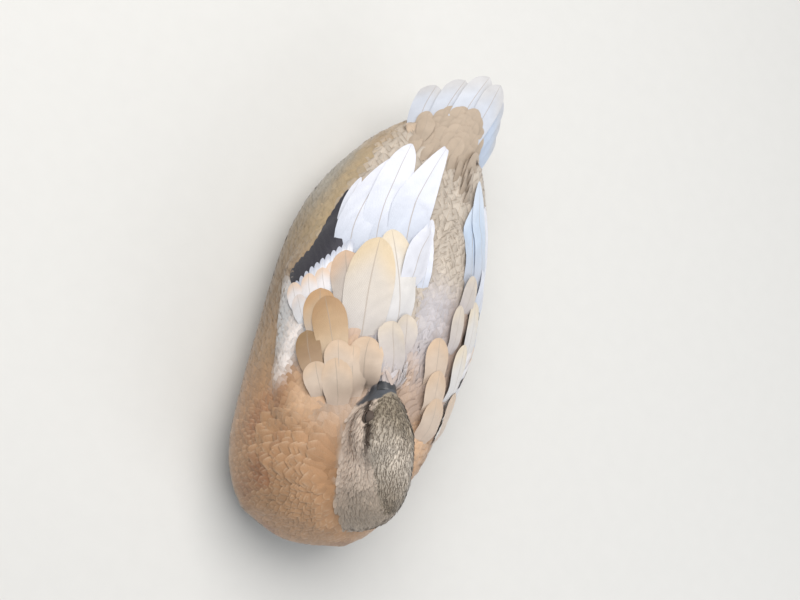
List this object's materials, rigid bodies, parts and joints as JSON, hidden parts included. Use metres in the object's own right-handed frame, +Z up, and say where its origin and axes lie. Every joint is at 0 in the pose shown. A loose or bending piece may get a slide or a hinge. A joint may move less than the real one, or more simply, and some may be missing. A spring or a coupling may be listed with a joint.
{
  "type": "resting domestic duck",
  "caption": "Domestic duck asleep on the ground, head turned back with the bill under the back feathers and the feet tucked under the belly.",
  "frame": {"origin": "on the floor under the middle of the belly", "axes": "+Z up, +Y from the breast towards the tail, +X towards the duck's own left side"},
  "size_m": [0.1944, 0.4442, 0.1834],
  "materials": {
    "breast_feathers": "soft overlapping orange-buff feathers",
    "back_feathers": "soft buff and cream feathers with fine shafts",
    "head_feathers": "short grey-buff feathers streaked dark brown",
    "white_feathers": "smooth satin vanes",
    "bill": "slate horn, satin",
    "foot": "scaled orange skin, satin",
    "eye": "wet gloss"
  },
  "bodies": {
    "root": {"bill_cover": "back_feathers", "bill_lower": "bill", "bill_upper": "bill", "eye_left": "eye", "eye_right": "eye", "flight_feathers_left": "white_feathers", "flight_feathers_right": "white_feathers", "foot_left": "foot", "foot_right": "foot", "head": "head_feathers", "leg_left": "foot", "leg_right": "foot", "neck": "head_feathers", "scapulars_left": "back_feathers", "scapulars_right": "back_feathers", "tail": "white_feathers", "trunk": "breast_feathers", "wing_left": "back_feathers", "wing_right": "back_feathers"}
  },
  "joints": []
}
